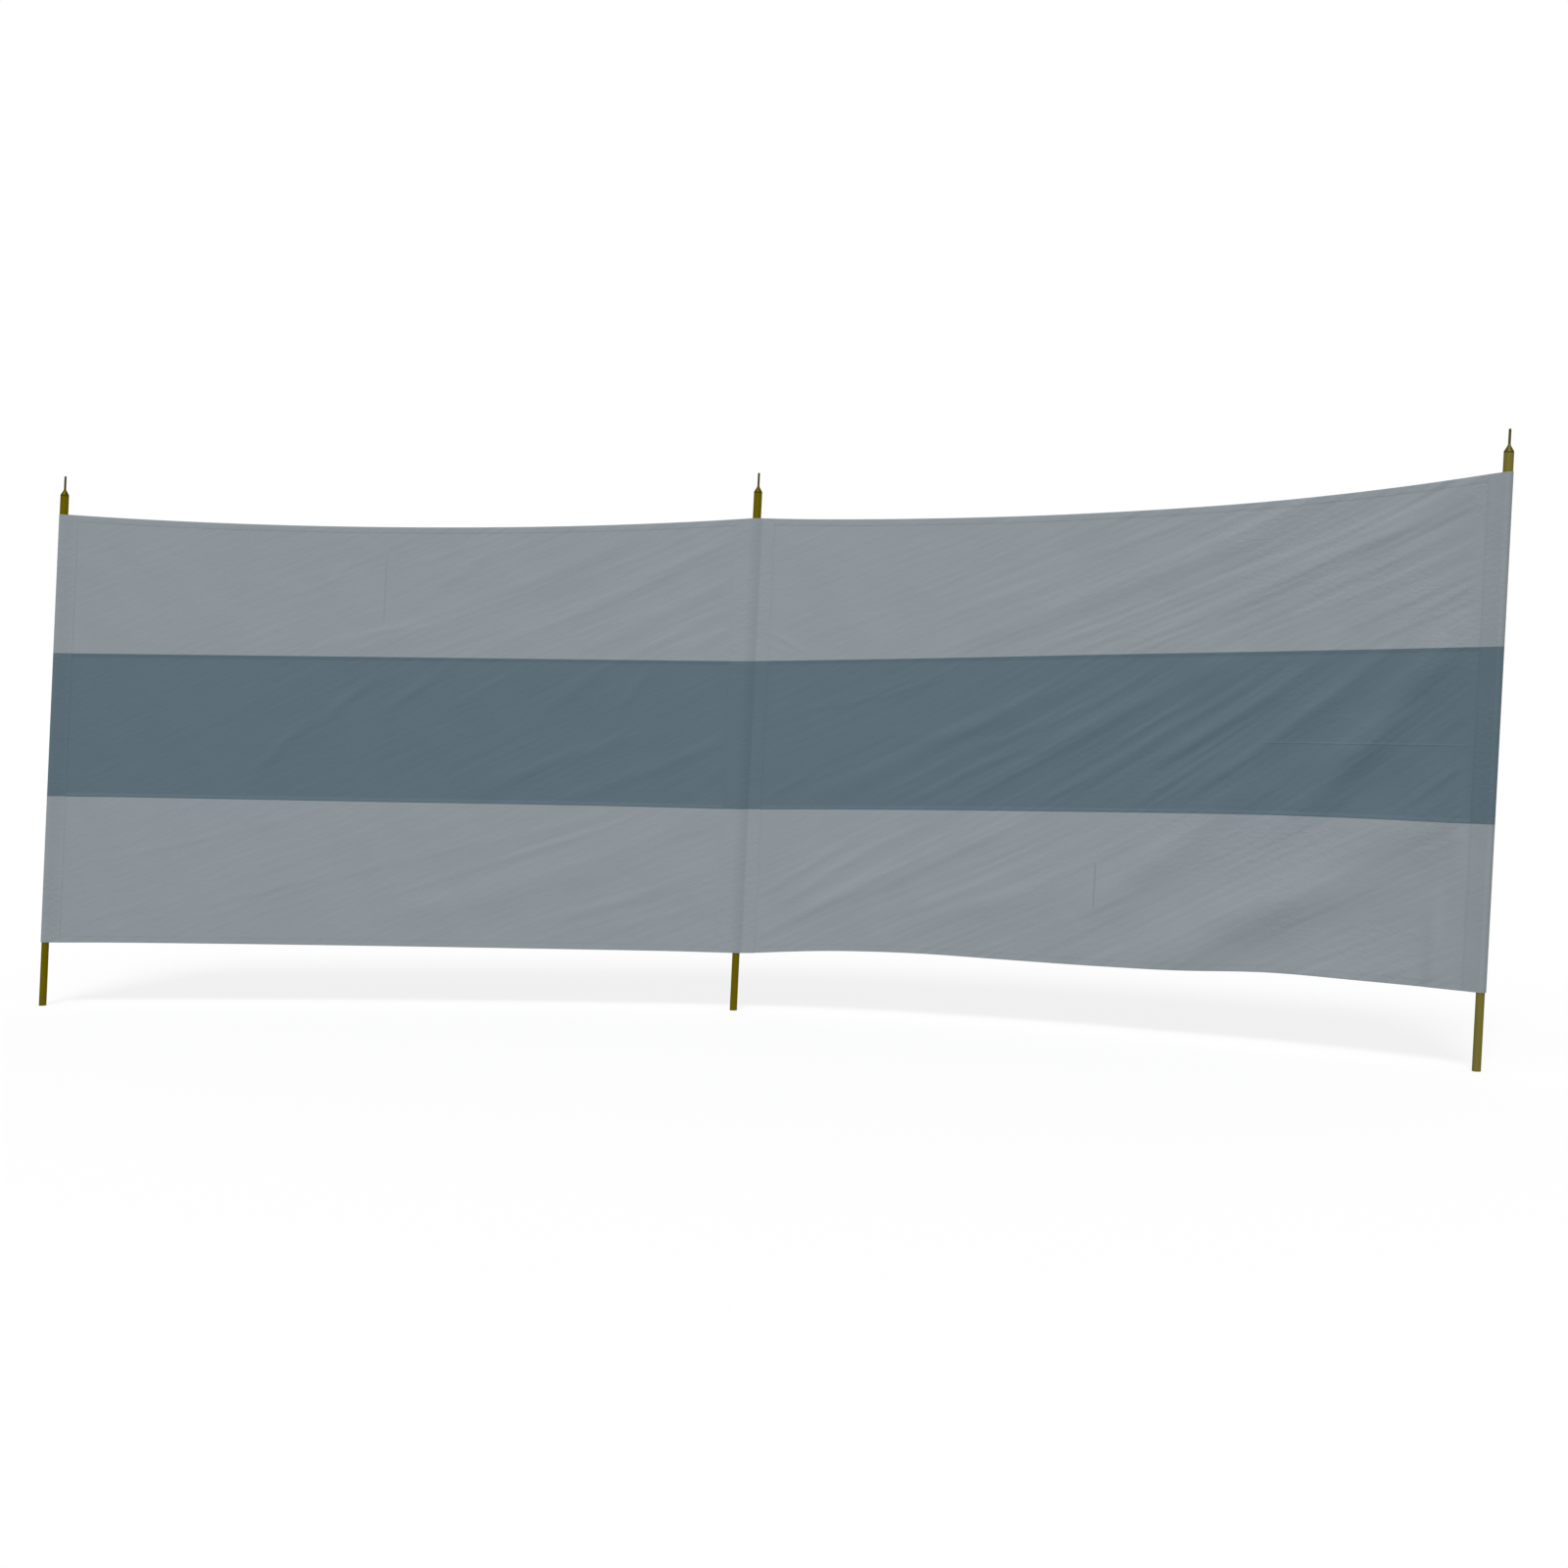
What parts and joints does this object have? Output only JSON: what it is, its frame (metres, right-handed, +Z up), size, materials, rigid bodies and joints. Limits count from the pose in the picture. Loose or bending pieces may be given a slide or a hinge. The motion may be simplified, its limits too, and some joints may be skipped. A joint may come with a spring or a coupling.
{
  "type": "beach windbreak",
  "caption": "Free-standing cloth windbreak in two bays: striped fabric sewn round slim steel poles that stand in the ground, each ending in a shoulder and a round pin.",
  "frame": {"origin": "on the axis of the middle pole, at ground level", "axes": "+X along the windbreak, towards the side the poles lean to; +Z up; -Y is the side that the two end poles stand forward on"},
  "size_m": [3.9085, 0.4308, 1.4892],
  "materials": {
    "pole_steel": "olive-gold passivated zinc on steel tube, satin",
    "grey_cloth": "light grey plain-woven polyester, slightly creased",
    "blue_cloth": "dusky blue-grey plain-woven polyester, slightly creased"
  },
  "bodies": {
    "root": {"left_foot_plug": "pole_steel", "left_lower_tube": "pole_steel", "left_upper_tube": "pole_steel", "left_top_plug": "pole_steel", "left_sleeve_top": "grey_cloth", "left_sleeve_middle": "blue_cloth", "left_sleeve_bottom": "grey_cloth", "middle_foot_plug": "pole_steel", "middle_lower_tube": "pole_steel", "middle_upper_tube": "pole_steel", "middle_top_plug": "pole_steel", "middle_sleeve_top": "grey_cloth", "middle_sleeve_middle": "blue_cloth", "middle_sleeve_bottom": "grey_cloth", "right_foot_plug": "pole_steel", "right_lower_tube": "pole_steel", "right_upper_tube": "pole_steel", "right_top_plug": "pole_steel", "right_sleeve_top": "grey_cloth", "right_sleeve_middle": "blue_cloth", "right_sleeve_bottom": "grey_cloth", "left_bay_top_stripe": "grey_cloth", "left_bay_middle_stripe": "blue_cloth", "left_bay_bottom_stripe": "grey_cloth", "left_bay_top_hem": "grey_cloth", "left_bay_bottom_hem": "grey_cloth", "right_bay_top_stripe": "grey_cloth", "right_bay_middle_stripe": "blue_cloth", "right_bay_bottom_stripe": "grey_cloth", "right_bay_top_hem": "grey_cloth", "right_bay_bottom_hem": "grey_cloth"}
  },
  "joints": []
}
